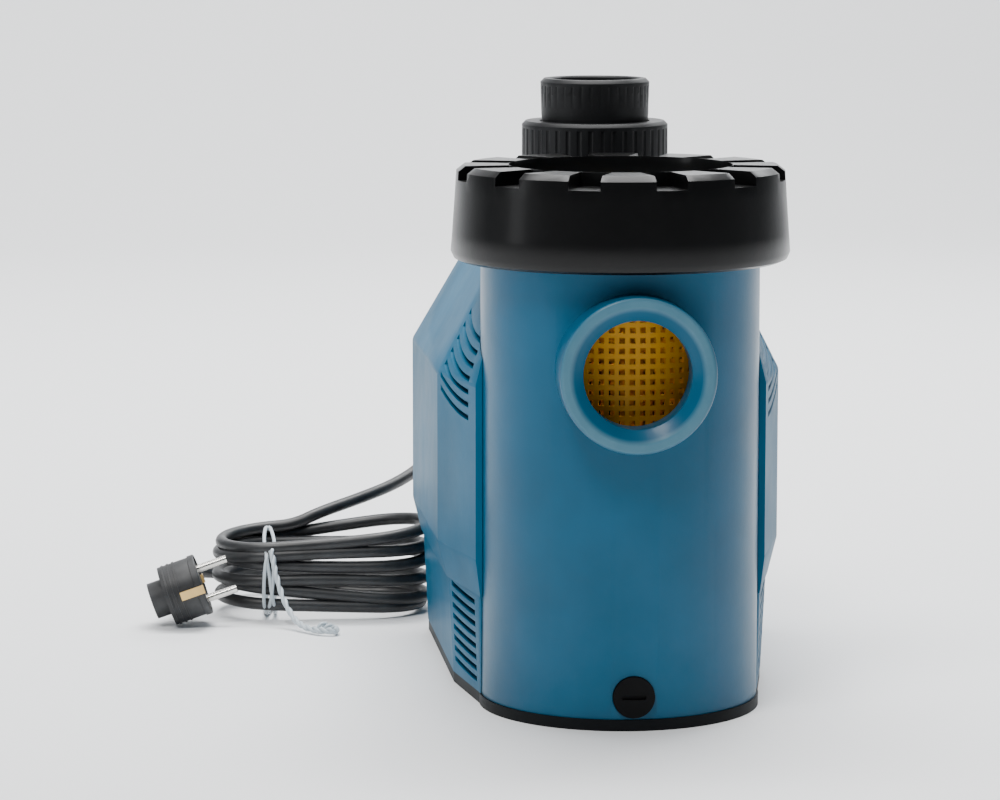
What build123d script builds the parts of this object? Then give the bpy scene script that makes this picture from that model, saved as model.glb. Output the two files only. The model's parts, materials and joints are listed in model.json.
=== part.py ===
"""A self-priming pool pump: strainer pot, close-coupled pump end, hooded motor, union and lead.

Frame: +Z up, the foot stands on z = 0, the strainer pot's axis is the Z axis, the suction port
faces -Y and the motor shaft runs along +Y. All sizes are in millimetres.
"""

import math
import os

from build123d import *

# Driving dimensions -------------------------------------------------------------------------
fit = 0.3  # gap kept between faces of pieces that move past each other
seat_gap = 0.02  # gap of a piece seated in a bore of its own body
wall = 4.0

pot_radius = 75.0
pot_top = 270.0
base_thickness = 6.0
inlet_z = 190.0
inlet_face = pot_radius + 17  # distance of the suction face in front of the pot axis
inlet_bore_radius = 28.4  # minor radius of the G2 thread
inlet_mouth_radius = inlet_bore_radius + 7.6
inlet_boss_radius = inlet_mouth_radius + 5
inlet_thread_depth = 15.0
inlet_bevel = 5.0
inlet_rim_round = 2.2

collar_radius = pot_radius + 7
collar_bottom = pot_top - 23
ring_radius = collar_radius + 9
ring_bottom = pot_top - 28
ring_deck = pot_top + 15.5
lug_height = 7.5
lug_count = 12
lid_flange = 5.0
lid_window_radius = pot_radius - 9

basket_radius = pot_radius - 14
basket_bottom = 128.0
basket_top = pot_top - 9
basket_wall = 2.0
basket_rim = 4.0

drain_z = 18.0
drain_bore = 6.5
drain_radius = drain_bore + 4.5

shaft_z = 122.0
shaft_radius = 8.5
impeller_radius = 52.0
impeller_front = pot_radius + 38  # y of the impeller's front shroud
casing_radius = 78.0
casing_wall = 5.0
casing_front = pot_radius - 9
casing_back = pot_radius + 93
flange_radius = casing_radius + 12
flange_thickness = 8.0
bolt_circle = casing_radius + 6.5
bolt_radius = 2.5

motor_radius = 56.0
motor_can_wall = 3.0
motor_front = casing_back + 40
motor_back = motor_front + 92
stator_front = motor_front + 18
stator_back = motor_back - 18
rotor_radius = 30.0
air_gap = 0.5
bearing_radius = 20.0
bearing_width = 12.0
fan_front = motor_back + 20
fan_radius = motor_radius - 6

nose_y = -8.0  # the hood's cheeks start here, beside the pot
nose_half = pot_radius + 3.5
cheek_y = pot_radius - 18
shoulder_y = motor_front + 4
waist_y = shoulder_y + 52
hood_back = fan_front + 32
hood_half = flange_radius + 5
shoulder_half = hood_half + 5
tail_half = motor_radius + 6
hood_top = ring_bottom - 4
tail_top_z = hood_top - 12
hood_wall = 3.0
parting_z = 60.0
louvre_gap = 3.0

discharge_y = pot_radius + 60
neck_bore = 25.0
neck_radius = neck_bore + 6
neck_top = hood_top + 48
pipe_radius = 25.1  # socket for 50 mm pipe
pipe_stop = neck_top + 15
tail_radius = pipe_radius + 5.9
tail_top = neck_top + 46
union_nut_radius = neck_radius + 10.5
union_nut_bottom = neck_top - 14
union_nut_top = neck_top + 22

cord_diameter = 7.5
gland_x = 14.0
gland_z = tail_top_z - 30

os.makedirs("parts", exist_ok=True)


def save(part, name):
    """Label a finished piece and write it to its own file."""
    part.part.label = name
    export_step(part.part, f"parts/{name}.step")


def across(y):
    """A plane whose normal is +Y, with local x along -X and local y along +Z."""
    return Plane(origin=(0, y, 0), x_dir=(-1, 0, 0), z_dir=(0, 1, 0))


def shaft_plane(y):
    """A plane across the motor shaft at station y, centred on the shaft."""
    return Plane(origin=(0, y, shaft_z), x_dir=(-1, 0, 0), z_dir=(0, 1, 0))


def disc(plane, radius, depth, bore=0.0):
    """Add a disc or a ring that stands on the plane, to the part being built."""
    with BuildSketch(plane) as profile:
        Circle(radius)
        if bore:
            Circle(bore, mode=Mode.SUBTRACT)
    extrude(profile.sketch, amount=depth)


def cut_disc(plane, radius, depth):
    """Cut a round hole that starts on the plane, from the part being built."""
    with BuildSketch(plane) as profile:
        Circle(radius)
    extrude(profile.sketch, amount=depth, mode=Mode.SUBTRACT)


def at(x, y, z):
    """A horizontal plane at a point."""
    return Plane(origin=(x, y, z))


def facing(y, z, x=0.0):
    """A plane whose normal is -Y, as seen from in front of the pump."""
    return Plane(origin=(x, y, z), x_dir=(1, 0, 0), z_dir=(0, -1, 0))


def turn_profile(points, plane, axis, mode=Mode.ADD):
    """Revolve a closed outline, drawn on the plane, about the axis."""
    with BuildSketch(plane) as profile:
        with BuildLine():
            Polyline(*points, close=True)
        make_face()
    revolve(profile.sketch, axis, mode=mode)


def o_ring(plane, radius, section):
    """Add an O-ring that rests on the plane, to the part being built."""
    with Locations(plane.offset(section + seat_gap)):
        Torus(radius, section)


def cut_groove(plane, radius, section):
    """Cut the square groove that holds an O-ring of that size, from the part being built."""
    half = section + seat_gap
    with BuildSketch(plane) as profile:
        Circle(radius + half)
        Circle(radius - half, mode=Mode.SUBTRACT)
    extrude(profile.sketch, amount=2 * half + seat_gap, mode=Mode.SUBTRACT)


shaft_axis = Axis((0, 0, shaft_z), (0, 1, 0))
inlet_axis = Axis((0, 0, inlet_z), (0, -1, 0))
drain_axis = Axis((0, 0, drain_z), (0, -1, 0))
discharge_axis = Axis((0, discharge_y, 0), (0, 0, 1))


def turned_on_shaft(points, mode=Mode.ADD):
    """Revolve (y, radius) points about the motor shaft."""
    placed = [(y, shaft_z + radius) for y, radius in points]
    turn_profile(placed, Plane.YZ, shaft_axis, mode)


def turned_on_pot(points, mode=Mode.ADD):
    """Revolve (radius, z) points about the pot's axis."""
    turn_profile(points, Plane.XZ, Axis.Z, mode)


def turned_on_discharge(points, mode=Mode.ADD):
    """Revolve (radius, z) points about the discharge axis."""
    turn_profile(points, Plane.XZ.offset(-discharge_y), discharge_axis, mode)


# Pump body: strainer pot, suction boss, casing and discharge neck in one moulding --------------
pot_inner = pot_radius - wall
casing_inner = casing_radius - casing_wall
neck_flare = neck_radius + 6
ledge = 3.0  # step inside the pot that carries the basket's rim
eye_bore = 26.0
with BuildPart() as pump_body:
    disc(Plane.XY.offset(base_thickness), pot_radius, pot_top - base_thickness)
    turned_on_pot(
        [
            (pot_radius - 1, collar_bottom - 4),
            (collar_radius, collar_bottom + 1),
            (collar_radius, pot_top),
            (pot_radius - 1, pot_top),
        ]
    )
    disc(shaft_plane(casing_front), casing_radius, casing_back - casing_front)
    disc(shaft_plane(casing_back - flange_thickness), flange_radius, flange_thickness)
    disc(at(0, discharge_y, shaft_z), neck_radius, neck_top - shaft_z)
    disc(at(0, discharge_y, union_nut_bottom - 8), neck_flare, neck_top - union_nut_bottom + 8)
    disc(facing(0, inlet_z), inlet_boss_radius, inlet_face)
    cut_disc(Plane.XY.offset(base_thickness + wall), pot_inner, pot_top)
    cut_disc(Plane.XY.offset(basket_top - basket_rim), pot_inner + ledge, pot_top)
    cut_disc(shaft_plane(pot_radius + wall), casing_inner, casing_back)
    cut_disc(at(0, discharge_y, shaft_z), neck_bore, neck_top)
    cut_disc(shaft_plane(0), eye_bore, casing_back)
    cut_disc(facing(0, inlet_z), inlet_bore_radius + 0.8, inlet_face - inlet_bevel - inlet_thread_depth)
    cut_disc(facing(0, inlet_z), inlet_bore_radius, inlet_face)
    cut_disc(facing(0, drain_z), drain_bore, pot_radius + 5)
    cut_disc(facing(-pot_radius + 3, drain_z), drain_radius + fit, 10)
    turn_profile(
        [
            (-inlet_face - 1, inlet_z),
            (-inlet_face - 1, inlet_z + inlet_mouth_radius + 1),
            (-inlet_face + inlet_bevel, inlet_z + inlet_bore_radius),
            (-inlet_face + inlet_bevel, inlet_z),
        ],
        Plane.YZ,
        inlet_axis,
        Mode.SUBTRACT,
    )
    fillet(pump_body.edges().filter_by(GeomType.CIRCLE).group_by(Axis.Y)[0], inlet_rim_round)
    with Locations(shaft_plane(casing_back)):
        with PolarLocations(bolt_circle, 8, start_angle=22.5):
            Hole(bolt_radius + seat_gap, depth=flange_thickness)
save(pump_body, "pump_body")

# Strainer lid, its O-ring and the castellated lock ring ----------------------------------------
lid_bottom = pot_top + 0.1
lid_radius = collar_radius - 3
lid_top = lid_bottom + lid_flange
dome_rise = 5.0
groove_radius = pot_radius + 2
o_ring_section = 1.6
with BuildPart() as strainer_lid:
    turned_on_pot(
        [
            (0, lid_bottom + 2),
            (lid_window_radius, lid_bottom - 2),
            (pot_inner, lid_bottom - 2),
            (pot_inner, lid_bottom),
            (lid_radius, lid_bottom),
            (lid_radius, lid_top),
            (lid_window_radius, lid_top),
            (lid_window_radius - 6, lid_top + dome_rise),
            (0, lid_top + dome_rise),
        ]
    )
    cut_groove(at(0, 0, lid_bottom), groove_radius, o_ring_section)
save(strainer_lid, "strainer_lid")

with BuildPart() as lid_o_ring:
    o_ring(at(0, 0, lid_bottom), groove_radius, o_ring_section)
save(lid_o_ring, "lid_o_ring")

ring_taper = 3.0
notch_width = 17.0
notch_reach = 40.0
lug_inner = lid_window_radius - 6
notch_phase = 11.5
with BuildPart() as lock_ring:
    turned_on_pot(
        [
            (collar_radius + fit, ring_bottom),
            (ring_radius - 5, ring_bottom),
            (ring_radius - 1.5, ring_bottom + 1.5),
            (ring_radius, ring_bottom + 5),
            (ring_radius - ring_taper, ring_deck + lug_height - 3),
            (ring_radius - ring_taper - 4, ring_deck + lug_height),
            (lug_inner, ring_deck + lug_height),
            (lug_inner, ring_deck - 3),
            (lid_window_radius + 1, ring_deck - 3),
            (lid_window_radius + 1, lid_top + fit),
            (collar_radius + fit, lid_top + fit),
        ]
    )
    with BuildSketch(Plane.XY.offset(ring_deck)) as notches:
        with PolarLocations(lug_inner + notch_reach / 2, lug_count, start_angle=notch_phase):
            Rectangle(notch_reach, notch_width)
    extrude(notches.sketch, amount=lug_height + 1, mode=Mode.SUBTRACT)
save(lock_ring, "lock_ring")

# Strainer basket and its bail handle -------------------------------------------------------------
bail_wire = 2.0
bail_pivot_z = basket_top - 5
bail_reach = basket_radius - 6
with BuildPart() as strainer_basket:
    disc(Plane.XY.offset(basket_bottom), basket_radius, basket_top - basket_bottom)
    disc(Plane.XY.offset(basket_top - basket_rim), pot_inner + ledge - 1, basket_rim)
    cut_disc(
        Plane.XY.offset(basket_bottom + basket_wall), basket_radius - basket_wall, pot_top
    )
    with Locations((bail_reach + 1, 0, bail_pivot_z), (-bail_reach - 1, 0, bail_pivot_z)):
        Box(10, 9, 9)
    with Locations(Plane(origin=(0, 0, bail_pivot_z), z_dir=(1, 0, 0))):
        Cylinder(bail_wire + fit, 2 * bail_reach + 2, mode=Mode.SUBTRACT)
save(strainer_basket, "strainer_basket")

handle_arm = bail_reach - 9
bail_depth = 30.0
with BuildPart() as basket_handle:
    with BuildLine() as bail_path:
        FilletPolyline(
            (-bail_reach, 0, bail_pivot_z),
            (-handle_arm, 0, bail_pivot_z),
            (-handle_arm, bail_depth, bail_pivot_z),
            (handle_arm, bail_depth, bail_pivot_z),
            (handle_arm, 0, bail_pivot_z),
            (bail_reach, 0, bail_pivot_z),
            radius=[3, 16, 16, 3],
        )
    with BuildSketch(Plane(origin=(-bail_reach, 0, bail_pivot_z), z_dir=(1, 0, 0))):
        Circle(bail_wire)
    sweep(path=bail_path.line)
save(basket_handle, "basket_handle")

# Drain plug -------------------------------------------------------------------------------------
drain_head = 4.4
drain_stem = 9.0
drain_seat = pot_radius - 3
drain_seal_radius = drain_bore + 2.2
drain_seal_section = 0.9
with BuildPart() as drain_plug:
    disc(facing(-drain_seat, drain_z), drain_radius, drain_head)
    disc(facing(-drain_seat + drain_stem, drain_z), drain_bore - fit, drain_stem)
    with BuildSketch(facing(-drain_seat - drain_head, drain_z)) as coin_slot:
        RectangleRounded(13, 2.4, 1.1)
    extrude(coin_slot.sketch, amount=-1.8, mode=Mode.SUBTRACT)
    cut_groove(facing(-drain_seat, drain_z), drain_seal_radius, drain_seal_section)
save(drain_plug, "drain_plug")

with BuildPart() as drain_plug_o_ring:
    o_ring(facing(-drain_seat, drain_z), drain_seal_radius, drain_seal_section)
save(drain_plug_o_ring, "drain_plug_o_ring")

# Discharge union: tail socket, nut and O-ring ---------------------------------------------------
tail_bottom = neck_top + 0.1
tail_flange = neck_flare - 3
union_seal_radius = neck_bore + 4.5
union_seal_section = 1.4
nut_ribs = 40
tail_ribs = 36
with BuildPart() as union_tail:
    turned_on_discharge(
        [
            (neck_bore, tail_bottom),
            (tail_flange, tail_bottom),
            (tail_flange, tail_bottom + 6),
            (tail_radius - 2, tail_bottom + 6),
            (tail_radius - 0.5, tail_top - 20),
            (tail_radius, tail_top - 2),
            (tail_radius - 2, tail_top),
            (pipe_radius + 1, tail_top),
            (pipe_radius, tail_top - 1),
            (pipe_radius, pipe_stop),
            (neck_bore - 2, pipe_stop),
            (neck_bore - 2, tail_bottom + 2),
        ]
    )
    cut_groove(at(0, discharge_y, tail_bottom), union_seal_radius, union_seal_section)
    with BuildSketch(at(0, discharge_y, union_nut_top + 1)) as tail_flutes:
        with PolarLocations(tail_radius + 1.1, tail_ribs):
            Circle(1.5)
    extrude(tail_flutes.sketch, amount=tail_top - union_nut_top - 5, mode=Mode.SUBTRACT)
save(union_tail, "union_tail")

with BuildPart() as union_o_ring:
    o_ring(at(0, discharge_y, tail_bottom), union_seal_radius, union_seal_section)
save(union_o_ring, "union_o_ring")

with BuildPart() as union_nut:
    turned_on_discharge(
        [
            (neck_flare + fit, union_nut_bottom),
            (union_nut_radius - 1, union_nut_bottom),
            (union_nut_radius, union_nut_bottom + 1),
            (union_nut_radius, union_nut_top - 2),
            (union_nut_radius - 2, union_nut_top),
            (tail_radius + fit, union_nut_top),
            (tail_radius + fit, tail_bottom + 6 + fit),
            (neck_flare + fit, tail_bottom + 6 + fit),
        ]
    )
    with BuildSketch(at(0, discharge_y, union_nut_bottom + 3)) as flutes:
        with PolarLocations(union_nut_radius + 1.4, nut_ribs):
            Circle(2)
    extrude(flutes.sketch, amount=union_nut_top - union_nut_bottom - 7, mode=Mode.SUBTRACT)
save(union_nut, "union_nut")

# Diffuser, impeller and shaft seal ---------------------------------------------------------------
diffuser_radius = casing_inner - 3
nozzle_radius = 24.0
impeller_depth = 18.0
shroud = 2.5
impeller_back = impeller_front + impeller_depth
hub_back = impeller_back + 11
seal_plate_y = casing_back
with BuildPart() as diffuser:
    turned_on_shaft(
        [
            (pot_radius + wall + 0.5, nozzle_radius),
            (pot_radius + wall + 0.5, nozzle_radius + 8),
            (pot_radius + wall + 4, nozzle_radius + 3),
            (impeller_front - 4, nozzle_radius + 3),
            (impeller_front - 4, diffuser_radius),
            (impeller_back + 4, diffuser_radius),
            (impeller_back + 4, diffuser_radius - 3),
            (impeller_front - 1, diffuser_radius - 3),
            (impeller_front - 1, nozzle_radius),
        ]
    )
    with BuildSketch(shaft_plane(impeller_front - 1)) as guides:
        with PolarLocations((diffuser_radius + impeller_radius) / 2 + 1, 9):
            Rectangle(diffuser_radius - impeller_radius - 6, 3, rotation=50)
    extrude(guides.sketch, amount=impeller_depth + 3)
    with BuildSketch(shaft_plane(impeller_front + 3)) as windows:
        with PolarLocations(diffuser_radius, 9, start_angle=20):
            Rectangle(12, 22)
    extrude(windows.sketch, amount=impeller_depth - 2, mode=Mode.SUBTRACT)
save(diffuser, "diffuser")

impeller_bore = shaft_radius - 2.5
with BuildPart() as impeller:
    turned_on_shaft(
        [
            (impeller_front - 14, nozzle_radius - 2 - fit),
            (impeller_front - 14, nozzle_radius - fit),
            (impeller_front, nozzle_radius - fit),
            (impeller_front, impeller_radius),
            (impeller_front + shroud, impeller_radius),
            (impeller_front + shroud, nozzle_radius - 2 - fit),
        ]
    )
    turned_on_shaft(
        [
            (impeller_back - shroud, impeller_bore + seat_gap),
            (impeller_back - shroud, impeller_radius),
            (impeller_back, impeller_radius),
            (impeller_back, impeller_bore + 7),
            (hub_back, impeller_bore + 5),
            (hub_back, impeller_bore + seat_gap),
        ]
    )
    with BuildSketch(shaft_plane(impeller_front + shroud / 2)) as vanes:
        with PolarLocations((impeller_radius + nozzle_radius) / 2, 6):
            Rectangle(impeller_radius - nozzle_radius - 3, 2.5, rotation=38)
    extrude(vanes.sketch, amount=impeller_depth - shroud)
save(impeller, "impeller")

nut_depth = 7.0
nut_front = impeller_back - shroud - nut_depth
with BuildPart() as impeller_nut:
    with BuildSketch(shaft_plane(nut_front)) as hexagon:
        RegularPolygon(9, 6)
        Circle(impeller_bore + seat_gap, mode=Mode.SUBTRACT)
    extrude(hexagon.sketch, amount=nut_depth)
save(impeller_nut, "impeller_nut")

seal_seat_radius = 2 * shaft_radius
seat_front = casing_back - 2
with BuildPart() as seal_plate:
    turned_on_shaft(
        [
            (casing_back, casing_inner),
            (casing_back, flange_radius),
            (casing_back + 6, flange_radius),
            (casing_back + 6, shaft_radius + 2),
            (casing_back + 3, shaft_radius + 2),
            (casing_back + 3, seal_seat_radius),
            (seat_front - 5, seal_seat_radius),
            (seat_front - 5, seal_seat_radius + 5),
            (casing_back, seal_seat_radius + 12),
        ]
    )
    with Locations(shaft_plane(casing_back + 6)):
        with PolarLocations(bolt_circle, 8, start_angle=22.5):
            Hole(bolt_radius + seat_gap, depth=6)
save(seal_plate, "seal_plate")

casing_seal_radius = casing_inner - 2.2
with BuildPart() as casing_o_ring:
    with Locations(shaft_plane(casing_back - 2)):
        Torus(casing_seal_radius, 2)
save(casing_o_ring, "casing_o_ring")

seal_face = casing_back - 6
with BuildPart() as seal_seat:
    disc(shaft_plane(seal_face), seal_seat_radius - seat_gap, 9, bore=shaft_radius + 1.5)
save(seal_seat, "seal_seat")

with BuildPart() as rotating_seal:
    turned_on_shaft(
        [
            (seal_face - 0.1, shaft_radius + 2.2),
            (seal_face - 0.1, shaft_radius + 5),
            (seal_face - 4, shaft_radius + 5),
            (seal_face - 4, shaft_radius + 6.5),
            (seal_face - 7, shaft_radius + 6.5),
            (seal_face - 7, shaft_radius + 4.5),
            (seal_face - 14, shaft_radius + 4.5),
            (seal_face - 14, shaft_radius + 6.5),
            (seal_face - 16, shaft_radius + 6.5),
            (seal_face - 16, shaft_radius + seat_gap),
            (seal_face - 4, shaft_radius + seat_gap),
            (seal_face - 4, shaft_radius + 2.2),
        ]
    )
save(rotating_seal, "rotating_seal")

spring_coils = 3
with BuildPart() as seal_spring:
    for coil in range(spring_coils):
        with Locations(shaft_plane(seal_face - 8.3 - 2.2 * coil)):
            Torus(shaft_radius + 5.6 + seat_gap, 1.0)
save(seal_spring, "seal_spring")

# Motor: shaft, rotor, stator, brackets, bearings, fan --------------------------------------------
front_bearing_y = motor_front - bearing_width
rear_bearing_y = motor_back + 2
shaft_end = fan_front + 14
with BuildPart() as motor_shaft:
    turned_on_shaft(
        [
            (nut_front - 3, 0),
            (nut_front - 3, impeller_bore),
            (hub_back, impeller_bore),
            (hub_back, shaft_radius),
            (shaft_end, shaft_radius),
            (shaft_end, 0),
        ]
    )
save(motor_shaft, "motor_shaft")

with BuildPart() as rotor_core:
    disc(
        shaft_plane(stator_front), rotor_radius, stator_back - stator_front, bore=shaft_radius + seat_gap
    )
    disc(shaft_plane(stator_front - 5), rotor_radius - 3, 5, bore=rotor_radius - 12)
    disc(shaft_plane(stator_back), rotor_radius - 3, 5, bore=rotor_radius - 12)
save(rotor_core, "rotor_core")

can_inner = motor_radius - motor_can_wall
stator_bore = rotor_radius + air_gap
with BuildPart() as stator_core:
    disc(shaft_plane(stator_front), can_inner - seat_gap, stator_back - stator_front, bore=stator_bore)
    with BuildSketch(shaft_plane(stator_front)) as slots:
        with PolarLocations(stator_bore + 6, 24):
            RectangleRounded(7, 4, 1.5)
    extrude(slots.sketch, amount=stator_back - stator_front, mode=Mode.SUBTRACT)
save(stator_core, "stator_core")

with BuildPart() as stator_windings:
    turned_on_shaft(
        [
            (stator_front, stator_bore + 2.5),
            (stator_front, can_inner - 6),
            (stator_front - 10, can_inner - 8),
            (stator_front - 12, can_inner - 12),
            (stator_front - 12, stator_bore + 5),
        ]
    )
    turned_on_shaft(
        [
            (stator_back, stator_bore + 2.5),
            (stator_back, can_inner - 6),
            (stator_back + 10, can_inner - 8),
            (stator_back + 12, can_inner - 12),
            (stator_back + 12, stator_bore + 5),
        ]
    )
save(stator_windings, "stator_windings")

fin_count = 20
fin_height = 3.0
with BuildPart() as motor_can:
    disc(shaft_plane(motor_front), motor_radius, motor_back - motor_front, bore=can_inner)
    with BuildSketch(shaft_plane(stator_front)) as fins:
        with PolarLocations(motor_radius, fin_count, start_angle=9):
            Rectangle(2 * fin_height, 2)
        Circle(can_inner + 1, mode=Mode.SUBTRACT)
    extrude(fins.sketch, amount=stator_back - stator_front)
save(motor_can, "motor_can")

bracket_flange = casing_back + 6
with BuildPart() as front_bracket:
    turned_on_shaft(
        [
            (bracket_flange, flange_radius - 14),
            (bracket_flange, flange_radius),
            (bracket_flange + 6, flange_radius),
            (bracket_flange + 8, flange_radius - 8),
            (front_bearing_y + 3, motor_radius),
            (motor_front, motor_radius),
            (motor_front, bearing_radius + seat_gap),
            (front_bearing_y, bearing_radius + seat_gap),
            (front_bearing_y, bearing_radius - 4),
            (front_bearing_y - 4, bearing_radius - 4),
            (front_bearing_y - 4, motor_radius - 8),
            (bracket_flange + 6, flange_radius - 14),
        ]
    )
    with BuildSketch(shaft_plane(bracket_flange + 7)) as drains:
        with PolarLocations(flange_radius - 14, 4, start_angle=0):
            Rectangle(34, 30)
        Circle(motor_radius - 6, mode=Mode.SUBTRACT)
    extrude(drains.sketch, amount=front_bearing_y - bracket_flange - 6, mode=Mode.SUBTRACT)
    with Locations(shaft_plane(bracket_flange + 8)):
        with PolarLocations(bolt_circle, 8, start_angle=22.5):
            Hole(bolt_radius + seat_gap, depth=12)
save(front_bracket, "front_bracket")

with BuildPart() as rear_bracket:
    turned_on_shaft(
        [
            (motor_back, bearing_radius + 6),
            (motor_back, motor_radius),
            (motor_back + 10, motor_radius - 3),
            (rear_bearing_y + bearing_width, bearing_radius + 4),
            (rear_bearing_y + bearing_width, shaft_radius + 1),
            (rear_bearing_y + bearing_width - 2, shaft_radius + 1),
            (rear_bearing_y + bearing_width - 2, bearing_radius + seat_gap),
            (motor_back, bearing_radius + seat_gap),
        ]
    )
save(rear_bracket, "rear_bracket")


def bearing(y):
    """Add a shielded ball bearing whose front face is at station y."""
    turned_on_shaft(
        [
            (y, shaft_radius + 0.03),
            (y, shaft_radius + 3),
            (y + 0.8, shaft_radius + 3.4),
            (y + 0.8, bearing_radius - 3.4),
            (y, bearing_radius - 3),
            (y, bearing_radius),
            (y + bearing_width, bearing_radius),
            (y + bearing_width, bearing_radius - 3),
            (y + bearing_width - 0.8, bearing_radius - 3.4),
            (y + bearing_width - 0.8, shaft_radius + 3.4),
            (y + bearing_width, shaft_radius + 3),
            (y + bearing_width, shaft_radius + 0.03),
        ]
    )


with BuildPart() as front_bearing:
    bearing(front_bearing_y)
save(front_bearing, "front_bearing")

with BuildPart() as rear_bearing:
    bearing(rear_bearing_y - 2)
save(rear_bearing, "rear_bearing")

with BuildPart() as water_slinger:
    disc(shaft_plane(casing_back + 9), shaft_radius + 10, 2.5, bore=shaft_radius + seat_gap)
save(water_slinger, "water_slinger")

fan_blades = 7
with BuildPart() as cooling_fan:
    disc(shaft_plane(fan_front), 16, 13, bore=shaft_radius + seat_gap)
    disc(shaft_plane(fan_front), fan_radius, 2, bore=shaft_radius + 4)
    with BuildSketch(shaft_plane(fan_front + 1)) as blades:
        with PolarLocations((fan_radius + 16) / 2 - 1, fan_blades):
            Rectangle(fan_radius - 16, 2.5)
    extrude(blades.sketch, amount=12)
save(cooling_fan, "cooling_fan")

with BuildPart() as casing_bolts:
    with BuildSketch(shaft_plane(casing_back - flange_thickness)) as shanks:
        with PolarLocations(bolt_circle, 8, start_angle=22.5):
            Circle(bolt_radius)
    extrude(shanks.sketch, amount=bracket_flange + 6 - casing_back + flange_thickness)
    with BuildSketch(shaft_plane(casing_back - flange_thickness - 3.5)) as heads:
        with PolarLocations(bolt_circle, 8, start_angle=22.5):
            RegularPolygon(3.6, 6)
    extrude(heads.sketch, amount=3.5)
save(casing_bolts, "casing_bolts")

# Housing: hood over tray, with louvred fronts that flank the pot, and a rear grille --------------
corner_round = 7.0
chamfer_width = 32.0
chamfer_bottom = hood_top - 63
tail_chamfer_width = 20.0
tail_chamfer_bottom = hood_top - 56
hem_rise = 20.0  # the hood's hem draws in over this height above the parting
hem_step = 5.0
nose_hem = 2.5
cheek_groove = 1.2
foot_draft = 3.0


nose_chamfer = nose_half - hood_half + chamfer_width
nose = (nose_half, hood_top, chamfer_bottom, nose_chamfer, nose_hem)
broad = (hood_half, hood_top, chamfer_bottom, chamfer_width, hem_step)
shouldered = (
    shoulder_half,
    hood_top,
    chamfer_bottom,
    shoulder_half - hood_half + chamfer_width,
    hem_step,
)
slim = (tail_half, tail_top_z, tail_chamfer_bottom, tail_chamfer_width, hem_step)


def hood_section(y, half, top, shoulder, chamfer, hem, inset):
    """Draw the hood's outline, or its inside when inset, across the shaft at station y."""
    with BuildSketch(across(y)) as outline:
        Polygon(
            (-half + hem, parting_z - 30),
            (-half + hem, parting_z),
            (-half, parting_z + hem_rise),
            (-half, shoulder),
            (-half + chamfer, top),
            (half - chamfer, top),
            (half, shoulder),
            (half, parting_z + hem_rise),
            (half - hem, parting_z),
            (half - hem, parting_z - 30),
            align=None,
        )
        fillet(outline.vertices().group_by(Axis.Z)[-1], corner_round)
        if inset:
            offset(amount=-inset)
    return outline.sketch


def hood_solid(front, back, inset):
    """Add the hood's filled shape between two stations, or cut its inside when inset."""
    mode = Mode.SUBTRACT if inset else Mode.ADD
    loft([hood_section(front, *nose, inset), hood_section(cheek_y, *broad, inset)], mode=mode)
    loft([hood_section(cheek_y, *broad, inset), hood_section(shoulder_y, *shouldered, inset)], mode=mode)
    loft([hood_section(shoulder_y, *shouldered, inset), hood_section(waist_y, *slim, inset)], mode=mode)
    loft([hood_section(waist_y, *slim, inset), hood_section(back, *slim, inset)], mode=mode)


def side_plane(x, y):
    """A plane across the X axis at the hood screws' height."""
    return Plane(origin=(x, y, hood_screw_z), x_dir=(0, 1, 0), z_dir=(1, 0, 0))


louvre_front = 4.0
louvre_back = cheek_y - 6


def louvre_sketch(first_z, count, pitch, sag):
    """Draw a column of curved louvre slots, low beside the pot, as seen along X."""
    middle = (louvre_front + louvre_back) / 2
    with BuildSketch(Plane(origin=(-hood_half, 0, 0), x_dir=(0, 1, 0), z_dir=(1, 0, 0))) as slots:
        for step in range(count):
            z = first_z + pitch * step
            with BuildLine():
                low = ThreePointArc(
                    (louvre_front, z - sag), (middle, z - 0.5 * sag), (louvre_back, z + sag)
                )
                high = ThreePointArc(
                    (louvre_front, z - sag + louvre_gap),
                    (middle, z - 0.5 * sag + louvre_gap),
                    (louvre_back, z + sag + louvre_gap),
                )
                Line(low @ 0, high @ 0)
                Line(low @ 1, high @ 1)
            make_face()
    return slots.sketch


neck_hole = neck_flare + 2
hood_screw_z = parting_z + 30
hood_screw_y = hood_back - 16
hood_screw_radius = 2.0
hood_screw_head = 4.5
with BuildPart() as motor_hood:
    hood_solid(nose_y, hood_back, 0)
    hood_solid(nose_y + hood_wall, hood_back + 1, hood_wall)
    split(bisect_by=Plane.XY.offset(parting_z), keep=Keep.TOP)
    cut_disc(Plane.XY, pot_radius + fit, hood_top + 5)
    cut_disc(at(0, discharge_y, hood_top - 40), neck_hole, 60)
    with BuildSketch(across(cheek_y)) as groove:
        add(hood_section(cheek_y, *broad, 0))
        add(hood_section(cheek_y, *broad, cheek_groove), mode=Mode.SUBTRACT)
    extrude(groove.sketch, amount=2 * cheek_groove, mode=Mode.SUBTRACT)
    extrude(louvre_sketch(chamfer_bottom - 15, 7, 7, 5.4), amount=2 * hood_half, mode=Mode.SUBTRACT)
    cut_disc(side_plane(-tail_half, hood_screw_y), hood_screw_radius + seat_gap, 2 * tail_half)
save(motor_hood, "motor_hood")

screw_length = 14.0
with BuildPart() as hood_screws:
    disc(side_plane(tail_half, hood_screw_y), hood_screw_head, 2)
    disc(side_plane(tail_half - screw_length, hood_screw_y), hood_screw_radius, screw_length)
    mirror(hood_screws.part, about=Plane.YZ)
save(hood_screws, "hood_screws")


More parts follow.
